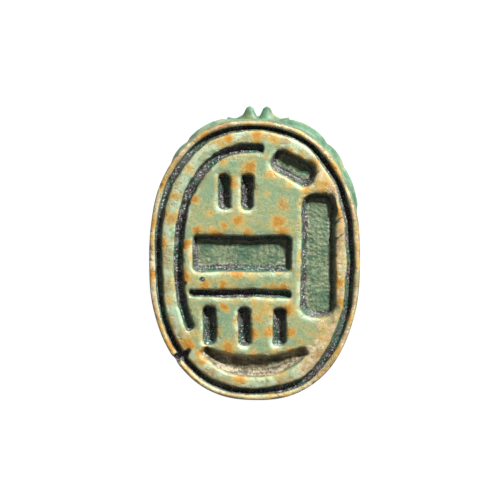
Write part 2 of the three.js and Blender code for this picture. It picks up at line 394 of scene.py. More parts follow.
def disc_grid(cols, rows):
    """Square grid squeezed into a disc: x = u sqrt(1 - v^2/2), y = v sqrt(1 - u^2/2)."""
    u, v = np.meshgrid(np.linspace(-1, 1, cols + 1), np.linspace(-1, 1, rows + 1))
    x, y = u * np.sqrt(1 - v * v / 2), v * np.sqrt(1 - u * u / 2)
    return np.hypot(x, y), np.arctan2(y, x)


def grid_loop(cols, rows):
    """Indices of a grid's edge, counterclockwise from its first corner."""
    index = np.arange((cols + 1) * (rows + 1)).reshape(rows + 1, cols + 1)
    return np.concatenate([index[0, :-1], index[:-1, -1], index[-1, :0:-1], index[:0:-1, 0]])


def grid_quads(cols, rows):
    """Quads of a grid, counterclockwise seen from above."""
    index = np.arange((cols + 1) * (rows + 1)).reshape(rows + 1, cols + 1)
    sides = (index[:-1, :-1], index[:-1, 1:], index[1:, 1:], index[1:, :-1])
    return np.stack([side.ravel() for side in sides], axis=1)


def ring_quads(upper, lower):
    """Quads between two loops of equal count, facing out when lower lies outside or below."""
    return np.stack([upper, lower, np.roll(lower, -1), np.roll(upper, -1)], axis=1)


def halving_triangles(upper, lower):
    """Triangles between a loop and one with half as many points."""
    first, middle, last = upper[0::2], upper[1::2], np.roll(upper, -1)[1::2]
    after = np.roll(lower, -1)
    fans = [(first, lower, middle), (middle, lower, after), (middle, after, last)]
    return np.concatenate([np.stack(fan, axis=1) for fan in fans])


def worn_share(turn, least):
    """Share of worn glaze along the outline: 1 on the right, the least one elsewhere."""
    return least + (1 - least) * smooth_step(np.abs(turn + 0.1), 1.15, 0.7)


def border_wear(x, y):
    """Worn strip of the face beside the border, widest on the right, where bare stone shows."""
    inset, turn = oval_inset(x, y)
    edge = 1.25 + 0.75 * worn_share(turn, 0) + 0.25 * plan_noise(x, y, 0.9, 26)
    return worn_share(turn, 0.6) * smooth_step(edge - inset, 0, 0.35)


def face_points():
    """Seal face inside the border groove, with its masks, as rows of (x, y, z) and masks."""
    radius, turn = disc_grid(FACE_COLS, FACE_ROWS)
    edge_x, edge_y = oval(turn, FACE_INSET)
    x, y = radius * edge_x, radius * edge_y
    height, (lip, floor, hatch, sunk, side, worn) = face_height(x, y)
    lip = np.maximum(lip, smooth_step(radius, 0.965, 1.0))
    deep, dark = dents(x, y)
    worn = np.maximum(worn, border_wear(x, y) * (1 - sunk)) * (1 - dark)
    points = np.stack([x, y, HEIGHT - np.maximum(-height, deep)], axis=-1).reshape(-1, 3)
    masks = np.stack([lip, floor, hatch, np.maximum(sunk, dark), side, worn], axis=-1)
    return points, masks.reshape(-1, len(MASKS))


def rim_rings(turn):
    """Rings across the border groove and the rim: list of (inset, drop, lip, sunk, side, worn)."""
    outer, inner = border_edges(turn)
    x, y = oval(turn)
    chips = smooth_step(plan_noise(x, y, 0.35, 43), 0.45, 0.8)
    shares = (0, 0.11, 0.22, 0.34, 0.5, 0.66, 0.78, 0.89, 1)
    insets = [inner + 0.14, inner + 0.06]
    insets += [inner + (outer - inner) * share for share in shares]
    insets += [outer - 0.06, 0.55 * outer, 0.13, 0.07, 0.02 + 0.04 * chips]
    rings = []
    for inset in insets:
        drop, sunk = border_drop(inset, turn)
        side = smooth_step(-inset, -0.11, 0.09)
        bare = worn_share(turn, 0.45) * (1 - 0.8 * smooth_step(inner - inset, 0, 0.06))
        worn = np.where(inset < outer, 1.0, bare)
        chip = 0.08 * chips * smooth_step(-inset, -0.15, -0.05)
        rings.append((inset, drop + chip, 1 - sunk, sunk, side, worn))
    return rings


def shell_reach(ahead):
    """Length of the back from the crown to its end, towards the head or the tail."""
    return np.where(ahead, LENGTH / 2 - SHELL_INSET - CROWN_Y, LENGTH / 2 - SHELL_INSET + CROWN_Y)


def shell_distance(x, y, z):
    """Domed back: gauge^2.3 + ((top - z)/top)^2.1 = 1, cut level at its top edge."""
    ahead = (y - CROWN_Y) / shell_reach(y > CROWN_Y)
    gauge = oval_gauge(x / (WIDTH / 2 - SHELL_INSET), ahead)
    sink = np.maximum(SHELL_TOP - z - REST_FLAT, 0) / SHELL_TOP
    measure = (gauge**DOME_SPREAD + sink**DOME_RISE) ** (2 / (DOME_SPREAD + DOME_RISE))
    radius = np.sqrt(x * x + (y - CROWN_Y) ** 2 + (z - SHELL_TOP) ** 2)
    dome = radius * (1 - 1 / np.maximum(measure, 1e-3))
    collar = COLLAR_Y + COLLAR_SWEEP * (x / COLLAR_HALF) ** 2
    before = np.maximum(collar - y, z - NECK_Z)
    shell = np.maximum(dome, z - SHELL_TOP)
    return -smooth_min(-shell, before, COLLAR_JOIN)


def ellipsoid_distance(x, y, z, centre, radii):
    """Near distance to an ellipsoid: k0 (k0 - 1) / k1 of the scaled lengths k0 and k1."""
    parts = [value - mid for value, mid in zip((x, y, z), centre)]
    k0 = np.sqrt(sum((part / radius) ** 2 for part, radius in zip(parts, radii)))
    k1 = np.sqrt(sum((part / radius**2) ** 2 for part, radius in zip(parts, radii)))
    return k0 * (k0 - 1) / np.maximum(k1, 1e-6)


def shield_outline():
    """Head shield in plan: two prongs at the front, a tooth beside each, then the cheeks."""
    half = ((0, 8.15), (0.13, 8.25), (0.28, 8.66), (0.5, 8.8), (0.72, 8.7), (0.9, 8.3),
            (1.35, 8.05), (1.83, 8.15), (2.15, 7.5), (2.35, 6.9), (2.35, 5.6))
    return list(half) + [(-x, y) for x, y in reversed(half[1:])]


def polygon_distance(x, y, corners):
    """Signed distance to a polygon: nearest side, with the sign from crossings."""
    nearest = np.full(x.shape, 1e9)
    sign = np.ones(x.shape)
    for (x0, y0), (x1, y1) in zip(corners, corners[1:] + corners[:1]):
        _, across, along = to_segment(x, y, (x0, y0), (x1, y1))
        nearest = np.minimum(nearest, np.hypot(across, along))
        crosses = ((y0 <= y) & (y < y1)) | ((y1 <= y) & (y < y0))
        at = x0 + (y - y0) * (x1 - x0) / ((y1 - y0) or 1)
        sign = np.where(crosses & (x < at), -sign, sign)
    return nearest * sign


def head_distance(x, y, z):
    """Toothed shield that thins towards its prongs, joined to the brow and the two eyes."""
    distance = np.full(x.shape, 3.0)
    near = (y > 4.0) & (np.abs(x) < 3.6)
    px, py, pz = x[near], y[near], z[near]
    bottom = SHIELD_LOW + SHIELD_THINNING * np.clip(py - COLLAR_Y, 0, 3)
    plan = polygon_distance(px, py, shield_outline())
    shield = rounded(plan, np.maximum(bottom - pz, pz - SHIELD_HIGH), 0.1)
    brow = ellipsoid_distance(px, py, pz, *BROW)
    eye = ellipsoid_distance(np.abs(px), py, pz, *EYE)
    distance[near] = smooth_min(smooth_min(shield, brow, BROW_JOIN), eye, EYE_JOIN)
    return distance


def arc_table():
    """Turn against length along the outline, for measuring legs in millimetres."""
    turn = np.linspace(-math.pi, math.pi, 1441)
    x, y = oval(turn, 0.5)
    length = np.concatenate([[0], np.cumsum(np.hypot(np.diff(x), np.diff(y)))])
    return turn, length - np.interp(0, turn, length)


def limb_distance(arc, inset, z, limb, table):
    """Distance to a leg: an oval tube along its stops, full in the middle and round at the ends."""
    stops, half_thickness, half_height = limb
    share = np.linspace(0, 1, 9)
    weights = ((1 - share) * (1 - 2 * share), 4 * share * (1 - share), share * (2 * share - 1))
    path = [sum(weight * stop[i] for weight, stop in zip(weights, stops)) for i in range(3)]
    path[0] = np.interp(np.radians(path[0]), *table)
    swell = (1 - np.abs(2 * share - 1) ** 3) ** 0.5
    points = list(zip(*path, swell))
    best = np.full(arc.shape, 9.0)
    for (arc0, inset0, z0, size0), (arc1, inset1, z1, size1) in zip(points, points[1:]):
        at, across, along = to_segment(arc, z, (arc0, z0), (arc1, z1))
        middle = inset0 + at * (inset1 - inset0)
        size = size0 + at * (size1 - size0)
        side = np.hypot(across, along) / half_height
        reach = np.hypot(side, (inset - middle) / half_thickness) - size
        best = np.minimum(best, reach * half_thickness)
    return best


def walk_in(count, distance, samples):
    """Share of each of the ways in, from 0 to 1, where the distance first falls below zero."""
    share = np.linspace(0, 1, samples)
    values = distance(share[None, :] * np.ones((count, 1)))
    first = np.maximum(np.argmax(values < 0, axis=1), 1)
    low, high = share[first - 1], share[first]
    for _ in range(10):
        middle = (low + high) / 2
        solid = distance(middle[:, None])[:, 0] < 0
        low, high = np.where(solid, low, middle), np.where(solid, middle, high)
    return (low + high) / 2


def crevices(inset):
    """Where a grid of insets lies deeper than the mean of its surroundings, from 0 to 1."""
    near = 4
    span = 2 * near + 1
    rows = np.pad(inset, ((near, near), (0, 0)), mode="edge")
    around = sum(rows[step:step + len(inset)] for step in range(span)) / span
    around = sum(np.roll(around, step, axis=1) for step in range(-near, near + 1)) / span
    return smooth_step(inset - around, 0.03, 0.16)


def flank_points(turn, table):
    """Flanks by level, and how hollow they lie: level walks inwards until the beetle is met."""
    turns = np.tile(turn, FLANK_LEVELS)
    z = np.repeat(np.linspace(FLANK_HIGH, FLANK_LOW, FLANK_LEVELS), len(turn))
    side_turn = np.arctan2(np.sin(turns), np.abs(np.cos(turns)))
    arc = np.interp(side_turn, *table)

    def distance(share):
        inset = FLANK_START + FLANK_REACH * share
        x, y = oval(turns[:, None], inset)
        level = z[:, None] + 0 * share
        whole = smooth_min(FLANK_INSET - inset, shell_distance(x, y, level), FLANK_JOIN)
        whole = np.minimum(whole, head_distance(x, y, level))
        for limb in LIMBS:
            tube = limb_distance(arc[:, None] + 0 * share, inset, level, limb, table)
            whole = smooth_min(whole, tube, LEG_JOIN)
        return whole

    inset = FLANK_START + FLANK_REACH * walk_in(len(turns), distance, 60)
    hollow = crevices(inset.reshape(FLANK_LEVELS, -1)).ravel() * smooth_step(z, 4.3, 4.5)
    return np.stack([*oval(turns, inset), z], axis=1), hollow


def back_points(x, y, z):
    """Back and head: walks from a larger dome towards the crown's centre until they are met."""
    outer = np.stack([x, y, z], axis=1)
    centre = np.array([0, CROWN_Y, SHELL_TOP])

    def distance(share):
        px, py, pz = [outer[:, i, None] + (centre[i] - outer[:, i, None]) * share
                      for i in range(3)]
        return np.minimum(shell_distance(px, py, pz), head_distance(px, py, pz))

    share = walk_in(len(outer), distance, 90)[:, None]
    return outer + (centre - outer) * share


def dome_envelope(turn, gauge):
    """Larger dome outside the back: the shell's own formula with a growth added all round."""
    across, along = oval_ray(turn)
    x = gauge * across * (WIDTH / 2 - SHELL_INSET + DOME_GROWTH)
    y = CROWN_Y + gauge * along * (shell_reach(along > 0) + DOME_GROWTH)
    fall = (1 - np.minimum(gauge, 1) ** DOME_SPREAD) ** (1 / DOME_RISE)
    return x, y, SHELL_TOP - (SHELL_TOP + DOME_GROWTH) * fall


def back_grooves(points):
    """Depth and soil of the lines cut in the back: suture, division and shoulders."""
    x, y, z = points.T
    on_back = smooth_step(-z, -SHELL_TOP + 0.1, -SHELL_TOP + 0.5)
    suture = np.abs(y - SUTURE_Y - 0.03 * x * x)
    division = np.abs(x) + 9 * (y > SUTURE_Y)
    along = np.clip((2.4 - y) / 1.5, 0, 1)
    shoulder = np.hypot(np.abs(x) - 4.3 - 0.8 * along, y - 2.4 + 1.5 * along)
    lines = [np.exp(-((away / LINE_SPREAD) ** 2)) for away in (suture, division, shoulder)]
    line = np.maximum.reduce(lines) * on_back
    return LINE_CUT * line, line


def beetle_points(turn):
    """Flanks, sides of the dome and middle of the back, with worn skin and their masks."""
    flank, hollow = flank_points(turn, arc_table())
    steps = np.linspace(DOME_START, math.asin(BACK_SHARE ** (DOME_SPREAD / 2)), DOME_LEVELS + 1)
    gauges = np.sin(steps[:-1]) ** (2 / DOME_SPREAD)
    dome = dome_envelope(np.tile(turn, DOME_LEVELS), np.repeat(gauges, len(turn)))
    radius, back_turn = disc_grid(BACK_COLS, BACK_ROWS)
    back = dome_envelope(back_turn.ravel(), BACK_SHARE * radius.ravel())
    points = np.concatenate([flank, back_points(*dome), back_points(*back)])

    depth, line = back_grooves(points)
    inward = np.array([0, CROWN_Y, SHELL_TOP + 0.6]) - points
    inward /= np.linalg.norm(inward, axis=1, keepdims=True)
    skin = 0.02 * noise(*points.T, 1.3, 51) + 0.012 * noise(*points.T, 0.4, 52)
    points = points + inward * (depth + skin)[:, None]
    points[:, 2] = np.maximum(points[:, 2], 0)

    sunk = 0.8 * line
    # Hollows between the legs take the soil colour through sunk: soil in the crevices, and painted
    # shade there too.
    sunk[:len(flank)] = np.maximum(sunk[:len(flank)], 0.65 * hollow)
    masks = np.zeros((len(points), len(MASKS)))
    masks[:, MASKS.index("sunk")] = sunk
    masks[:, MASKS.index("side")] = 1
    return points, masks


def ring_points(turn, inset, drop, lip, sunk, side, worn):
    """Ring of the plate with its masks, a little out of true and with the face's dents."""
    x, y = oval(turn, inset + 0.05 * plan_noise(*oval(turn), 2.2, 44))
    deep, dark = dents(x, y)
    dark = dark * smooth_step(deep - drop, -0.2, 0)
    masks = (lip, 0, 0, np.maximum(sunk, dark), side, worn * (1 - sunk) * (1 - dark))
    points = np.stack([x, y, HEIGHT - np.maximum(drop, deep)], axis=1)
    return points, np.stack([mask + 0 * x for mask in masks], axis=1)


class Skin:
    """Points, masks and faces gathered from the face downwards, with the last loop of points."""

    def __init__(self, points, masks, cols, rows):
        self.points, self.masks = [points], [masks]
        self.faces = [grid_quads(cols, rows)]
        self.loop = grid_loop(cols, rows)
        self.count = len(points)

    def add(self, points, masks):
        """Takes in new points and gives their indices."""
        self.points.append(points)
        self.masks.append(masks)
        self.count += len(points)
        return np.arange(self.count - len(points), self.count)

    def join(self, loop, fill=ring_quads):
        """Fills between the last loop and a new one, which is the last one from then on."""
        self.faces.append(fill(self.loop, loop))
        self.loop = loop


def carved_surface():
    """Whole surface: points in millimetres, blocks of faces, and the masks of each point."""
    skin = Skin(*face_points(), FACE_COLS, FACE_ROWS)
    turn = disc_grid(FACE_COLS, FACE_ROWS)[1].ravel()[skin.loop]
    for row in rim_rings(turn):
        skin.join(skin.add(*ring_points(turn, *row)))
    turn = turn[0::2]
    for i, edge in enumerate(PLATE_EDGE):
        wall = skin.add(*ring_points(turn, *edge, 0, 0, 1, 0))
        skin.join(wall, ring_quads if i else halving_triangles)

    added = skin.add(*beetle_points(turn))
    split = (FLANK_LEVELS + DOME_LEVELS) * len(turn)
    for level in added[:split].reshape(-1, len(turn)):
        skin.join(level)
    back = added[split:]
    skin.join(back[grid_loop(BACK_COLS, BACK_ROWS)])
    skin.faces.append(back[grid_quads(BACK_COLS, BACK_ROWS)][:, ::-1])
    return np.concatenate(skin.points), skin.faces, np.concatenate(skin.masks)


def new_object(context, data):
    """Object in the scene, with the name of its data."""
    item = bpy.data.objects.new(data.name, data)
    context.scene.collection.objects.link(item)
    return item


def mesh_from(name, points, faces, masks):
    """Mesh in metres from millimetre points, blocks of quads and triangles, and float masks."""
    mesh = bpy.data.meshes.new(name)
    flat = [block.ravel() for block in faces]
    sizes = np.concatenate([np.full(len(block), block.shape[1]) for block in faces])
    mesh.vertices.add(len(points))
    mesh.loops.add(int(sizes.sum()))
    mesh.polygons.add(len(sizes))
    placed = (points + np.array([0, SHIFT_Y, 0])) * MM
    mesh.vertices.foreach_set("co", placed.astype(np.float32).ravel())
    mesh.loops.foreach_set("vertex_index", np.concatenate(flat).astype(np.int32))
    starts = np.concatenate([[0], np.cumsum(sizes)[:-1]])
    mesh.polygons.foreach_set("loop_start", starts.astype(np.int32))
    mesh.update(calc_edges=True)
    mesh.validate()
    for mask, values in zip(MASKS, masks.T):
        attribute = mesh.attributes.new(mask, "FLOAT", "POINT")
        attribute.data.foreach_set("value", np.clip(values, 0, 1).astype(np.float32))
    mesh.shade_smooth()
    return mesh


def drill_bore(piece):
    """Cuts the string bore lengthwise with a Boolean and applies it."""
    bpy.ops.mesh.primitive_cylinder_add(
        vertices=BORE_SIDES, radius=BORE_DIAMETER / 2 * MM, depth=(LENGTH + 2) * MM,
        location=(0, 0, BORE_Z * MM), rotation=(math.pi / 2, 0, 0),
    )
    drill = bpy.context.object
    cut = piece.modifiers.new("bore", "BOOLEAN")
    cut.operation = "DIFFERENCE"
    cut.solver = "EXACT"
    cut.object = drill
    bpy.context.view_layer.objects.active = piece
    bpy.ops.object.modifier_apply(modifier=cut.name)
    bpy.data.objects.remove(drill)
    # Painted shade on the wall of the bore.
    shade_bore_wall(piece.data)


def shade_bore_wall(mesh):
    """Marks the wall of the bore as sunk and off the face, so that it takes the soil colour:
    painted shade inside the bore.
    """
    places = np.empty(len(mesh.vertices) * 3, np.float32)
    mesh.vertices.foreach_get("co", places)
    x, _, z = places.reshape(-1, 3).T / MM
    inside = np.hypot(x, z - BORE_Z) < BORE_DIAMETER / 2 + 0.02
    for name in ("sunk", "side"):
        values = np.empty(len(x), np.float32)
        mesh.attributes[name].data.foreach_get("value", values)
        values[inside] = 1
        mesh.attributes[name].data.foreach_set("value", values)


def opaque(values):
    """Colour with full alpha."""
    return (*values, 1.0)


def colour(*display):
    """Linear colour from display values 0 to 255."""
    values = [value / 255 for value in display]
    return opaque(v / 12.92 if v <= 0.04045 else ((v + 0.055) / 1.055) ** 2.4 for v in values)


class Nodes:
    """Shorthand for a material's node tree."""

    def __init__(self, name):
        self.material = bpy.data.materials.new(name)
        self.material.use_nodes = True
        self.tree = self.material.node_tree
        self.shader = self.tree.nodes["Principled BSDF"]

    def add(self, kind, inputs=None, **settings):
        """New node with its settings, and values or links for inputs by name or number."""
        node = self.tree.nodes.new(kind)
        for key, value in settings.items():
            setattr(node, key, value)
        for key, value in (inputs or {}).items():
            self.put(node.inputs[key], value)
        return node

    def put(self, socket, value):
        """Links a socket to an input, or sets the input to a value."""
        if isinstance(value, bpy.types.NodeSocket):
            self.tree.links.new(value, socket)
        else:
            socket.default_value = value

    def math(self, operation, *values):
        """Arithmetic on sockets or numbers."""
        node = self.add("ShaderNodeMath", dict(enumerate(values)), operation=operation)
        return node.outputs[0]

    def times(self, product, *factors):
        """Product of all values."""
        for factor in factors:
            product = self.math("MULTIPLY", product, factor)
        return product

    def ramp(self, value, low, high, start=0, end=1):
        """Value carried smoothly from low..high to start..end."""
        inputs = {"Value": value, "From Min": low, "From Max": high,
                  "To Min": start, "To Max": end}
        node = self.add("ShaderNodeMapRange", inputs, interpolation_type="SMOOTHSTEP")
        return node.outputs["Result"]

    def mix(self, share, first, second):
        """First colour carried to the second one by a share."""
        node = self.add("ShaderNodeMix", {0: share, 6: first, 7: second}, data_type="RGBA")
        return node.outputs[2]

    def coats(self, ground, *coats):
        """Ground with coats of colour on it, each given as a share and three display values."""
        for share, *display in coats:
            ground = self.mix(share, ground, colour(*display))
        return ground


class Glaze(Nodes):
    """Nodes of the glaze: the masks of the surface, and noises that several layers share."""

    def __init__(self, finish):
        super().__init__("glazed steatite")
        self.finish = finish
        self.place = self.add("ShaderNodeTexCoord").outputs["Object"]
        masks = [self.add("ShaderNodeAttribute", attribute_name=name) for name in MASKS]
        masks = [mask.outputs["Fac"] for mask in masks]
        self.lip, self.floor, self.hatch, self.sunk, self.side, self.worn = masks
        self.broad, self.middle = self.noise(2.4), self.noise(0.7)
        self.fine = self.noise(0.2, 4, 0.65)
        # Pale grains: grains of the soil, and painted glints where the soil takes them.
        self.grains_and_glints = self.ramp(self.noise(0.115, 2, 0.7), 0.52, 0.68)
        self.on_face = self.without(0.85, self.side)

    def without(self, share, mask):
        """1 less a share of a mask."""
        return self.math("SUBTRACT", 1, self.times(mask, share))

    def noise(self, scale_mm, detail=3, roughness=0.55):
        """Noise over the object's own place."""
        inputs = {"Vector": self.place, "Scale": 1 / (scale_mm * MM), "Detail": detail,
                  "Roughness": roughness}
        return self.add("ShaderNodeTexNoise", inputs).outputs["Fac"]

    def patches(self, scale_mm, low, high, share=1, detail=3):
        """Patches of noise: 0 at low, and a share at high."""
        return self.ramp(self.noise(scale_mm, detail), low, high, 0, share)

    def strayed(self, place, scale_mm, reach_mm):
        """Place moved about by noise, so that round patterns get ragged edges."""
        inputs = {"Vector": place, "Scale": 1 / (scale_mm * MM), "Detail": 3}
        noise = self.add("ShaderNodeTexNoise", inputs).outputs["Color"]
        inputs = {0: noise, 1: (reach_mm * MM,) * 3, 2: place}
        moved = self.add("ShaderNodeVectorMath", inputs, operation="MULTIPLY_ADD")
        return moved.outputs[0]

    def cells(self, place, scale_mm, feature="F1"):
        """Voronoi cells: distance to a centre or an edge, and a random colour a cell."""
        inputs = {"Vector": place, "Scale": 1 / (scale_mm * MM)}
        return self.add("ShaderNodeTexVoronoi", inputs, feature=feature).outputs


def flat_glaze(n):
    """Pale green glaze, clouded with yellow and with deeper green."""
    return n.coats(
        opaque(n.finish.glaze),
        (n.ramp(n.broad, 0.42, 0.6), 184, 184, 124),
        (n.ramp(n.middle, 0.55, 0.75, 0, 0.5), 200, 200, 154),
        (n.patches(1.1, 0.52, 0.35, 0.6), 124, 164, 130),
        (n.ramp(n.fine, 0.52, 0.3, 0, 0.35), 112, 142, 106))


def bare_stone(n):
    """Worn stone: cream with brown stains, and flecks of glaze left on it."""
    return n.coats(
        opaque(n.finish.cream),
        (n.ramp(n.middle, 0.4, 0.6), 230, 200, 158),
        (n.patches(0.8, 0.47, 0.58, 0.8), 204, 148, 76),
        (n.patches(0.35, 0.53, 0.64, 0.6), 132, 154, 112),
        (n.ramp(n.fine, 0.5, 0.36, 0, 0.65), 146, 110, 70))


def rubbed(n, ground):
    """Worn places, and lips of the cuts: stained along some stretches, chalky on others; the pale
    mint of the chalk is worn stone and also a painted highlight on the lips and the rim.
    """
    bare = n.times(n.worn, n.ramp(n.noise(1.3), 0.62, 0.5, 0.35, 1))
    ground = n.mix(bare, ground, bare_stone(n))
    along = n.noise(0.9)
    stain = n.times(n.lip, n.ramp(along, 0.52, 0.4), n.ramp(n.fine, 0.6, 0.42, 0.25, 0.8))
    ground = n.coats(ground, (stain, 176, 142, 86))
    creamy = n.math("MAXIMUM", n.ramp(n.middle, 0.52, 0.66, 0, 0.6), n.ramp(n.worn, 0.3, 0.85))
    # Pale mint chalk on the lips and the rim: bare worn stone, and a painted highlight that
    # brightens every lip alike.
    chalk_and_highlight = n.mix(creamy, colour(200, 222, 186), opaque(n.finish.cream))
    share = n.times(n.lip, n.ramp(along, 0.44, 0.58, 0.1, 0.85), n.ramp(n.worn, 0.5, 1, 1, 0.3))
    return n.mix(share, ground, chalk_and_highlight)


def off_face(n, ground):
    """Green of the flanks and back, clouded pale and dark, the palest patches a painted sheen, with
    a brown line of painted shade at the edge to the face.
    """
    sides = n.coats(
        opaque(n.finish.side),
        (n.ramp(n.broad, 0.35, 0.65), 88, 132, 98),
        (n.patches(1.2, 0.56, 0.7, 0.5, 4), 146, 160, 118),
        # Pale mint patches: a painted sheen on the flanks and back.
        (n.patches(0.6, 0.46, 0.7, 0.3), 158, 190, 158),
        (n.patches(0.9, 0.5, 0.34, 0.3), 40, 72, 50))
    ground = n.mix(n.ramp(n.side, 0.4, 0.9), ground, sides)
    # Brown line where the face turns into the flanks: painted shade along the edge that turns away
    # from the light.
    edge = n.times(n.ramp(n.side, 0.05, 0.35), n.ramp(n.side, 0.95, 0.5), 0.7)
    return n.coats(ground, (edge, 104, 84, 56))


def spotted(n, ground):
    """Ochre spots with pale halos: cells of random size, a few of them left out."""
    ragged = n.strayed(n.strayed(n.place, 0.3, 0.35), 1.1, 0.9)
    centres = n.cells(ragged, n.finish.spot_pitch / MM)
    chance = n.add("ShaderNodeSeparateColor", {"Color": centres["Color"]}).outputs
    kept = n.ramp(chance[0], 0.06, 0.14)
    size = n.ramp(chance[1], 0, 1, 0.36, 0.58)
    grainy = n.times(n.math("SUBTRACT", n.fine, 0.5), 0.16)
    reach = n.math("ADD", centres["Distance"], grainy)
    halo = n.ramp(reach, n.times(size, 1.2), n.times(size, 0.6))
    spot = n.ramp(reach, n.times(size, 0.85), n.times(size, 0.3))
    ground = n.coats(ground, (n.times(halo, kept, 0.85, n.on_face), 220, 186, 100))
    return n.mix(n.times(spot, kept, 0.95, n.on_face), ground, opaque(n.finish.ochre))


def weathered(n, ground):
    """Crackle in worn places, and dark and pale grit, denser in some patches."""
    craze = n.cells(n.strayed(n.place, 0.5, 0.4), 1.2, "DISTANCE_TO_EDGE")
    crack = n.times(n.ramp(craze["Distance"], 0.025, 0), n.worn, 0.3)
    grit = n.noise(0.09, 2, 0.6)
    dense = n.ramp(n.noise(1.3, 2), 0.4, 0.6, 0.15, 0.4)
    return n.coats(
        ground,
        (crack, 120, 96, 72),
        (n.times(n.ramp(grit, 0.5, 0.3), dense), 98, 108, 72),
        (n.times(n.ramp(grit, 0.5, 0.7), dense, n.on_face), 226, 222, 186))


def soil_and_shade(n):
    """Dark soil with green and grey patches and pale grains, scraped bare where worn; the pale
    grains are also painted glints, and in the bore and the hollows of the flanks this colour is
    painted shade.
    """
    dense = n.ramp(n.noise(0.5, 2), 0.35, 0.55, 0.3, 1)
    soil = n.coats(
        opaque(n.finish.soil),
        (n.patches(1.4, 0.46, 0.58), 50, 86, 64),
        (n.patches(0.8, 0.48, 0.62, 0.6), 112, 108, 104),
        # Pale grains in the soil, which also stand in for painted glints.
        (n.times(n.grains_and_glints, dense, n.without(0.8, n.side)), 214, 208, 208))
    scraped = n.coats(
        colour(202, 188, 152),
        (n.ramp(n.fine, 0.56, 0.4), 112, 96, 70),
        (n.times(n.patches(1.5, 0.46, 0.6), n.ramp(n.fine, 0.36, 0.52)), 66, 60, 48))
    return n.mix(n.times(n.worn, 0.85), soil, scraped)


def flat_bed(n):
    """Flat floor of a broad cut: green, brown where worn, pale on its hatching and shore."""
    shore = n.times(n.ramp(n.floor, 0.2, 0.6), n.ramp(n.floor, 1, 0.75),
                    n.ramp(n.middle, 0.42, 0.56))
    return n.coats(
        colour(90, 122, 94),
        (n.patches(0.8, 0.38, 0.62), 122, 142, 106),
        (n.worn, 124, 112, 84),
        (n.times(n.hatch, n.ramp(n.fine, 0.42, 0.6, 0.1, 0.75)), 182, 184, 146),
        (shore, 192, 190, 156))


def sunk_places(n, ground):
    """Cuts of the ground: a green or tan wall, soil lower down, and the bed of broad ones."""
    wall = n.coats(colour(78, 120, 92), (n.times(n.worn, 0.6), 152, 130, 94))
    uneven = n.times(n.math("SUBTRACT", n.noise(0.5), 0.5), 1.5)
    below = n.ramp(n.math("ADD", n.sunk, uneven), 0.16, 0.42)
    inside = n.mix(below, wall, soil_and_shade(n))
    inside = n.mix(n.times(n.floor, n.ramp(n.fine, 0.72, 0.6)), inside, flat_bed(n))
    return n.mix(n.ramp(n.sunk, 0.1, 0.32), ground, inside)


def skin_bump(n):
    """Bump of the skin: fine grain, the grains of the soil, and nicks along the lips."""
    relief = n.math("ADD", n.times(n.fine, 0.7), n.times(n.noise(0.07, 2, 0.7), 0.3))
    relief = n.math("ADD", relief, n.times(n.grains_and_glints, n.sunk, 0.8))
    nicks = n.times(n.ramp(n.noise(0.24, 3, 0.6), 0.56, 0.64),
                    n.math("MULTIPLY_ADD", n.lip, 0.7, 0.15))
    inputs = {"Strength": 0.8, "Distance": 0.035 * MM,
              "Height": n.math("SUBTRACT", relief, nicks)}
    return n.add("ShaderNodeBump", inputs).outputs["Normal"]


def glaze_material(finish):
    """Glaze of the whole seal, a little less glossy off the face."""
    n = Glaze(finish)
    ground = weathered(n, spotted(n, off_face(n, rubbed(n, flat_glaze(n)))))
    rough = n.ramp(n.fine, 0.3, 0.7, 0.42, 0.54)
    n.put(n.shader.inputs["Base Color"], sunk_places(n, ground))
    n.put(n.shader.inputs["Roughness"], n.math("SUBTRACT", rough, n.times(n.lip, 0.03)))
    n.put(n.shader.inputs["Specular IOR Level"], n.math("SUBTRACT", 0.8, n.times(n.side, 0.3)))
    n.put(n.shader.inputs["Normal"], skin_bump(n))
    return n.material


def table_material(studio):
    """White light table: a sheet of opal glass, lit from below."""
    n = Nodes("light table")
    n.put(n.shader.inputs["Base Color"], (0.05, 0.05, 0.05, 1))
    n.put(n.shader.inputs["Roughness"], 0.9)
    n.put(n.shader.inputs["Emission Color"], (1, 1, 1, 1))
    n.put(n.shader.inputs["Emission Strength"], studio.glow)
    return n.material


def colour_setting(name, description, *display):
    """Colour property with its default as display values 0 to 255."""
    return FloatVectorProperty(name=name, description=description, subtype="COLOR", size=3,
                               min=0, max=1, default=colour(*display)[:3])


class ScarabFinish(bpy.types.PropertyGroup):
    """Colours of the glaze and its wear."""

    glaze: colour_setting("Glaze", "Pale green of the flat glaze", 152, 178, 134)
    ochre: colour_setting("Ochre", "Spots in the glaze", 204, 138, 34)
    cream: colour_setting("Cream", "Bare stone on worn edges", 240, 220, 174)
    side: colour_setting("Side", "Glossy green of the flanks and back", 60, 108, 76)
    # The soil colour is also painted shade in the bore and in the hollows of the flanks.
    soil: colour_setting("Soil", "Dark soil left in the cuts", 47, 44, 38)
    spot_pitch: FloatProperty(
        name="Spot pitch", description="Distance between ochre spots", subtype="DISTANCE",
        unit="LENGTH", min=0.0005, max=0.01, default=1.08 * MM)


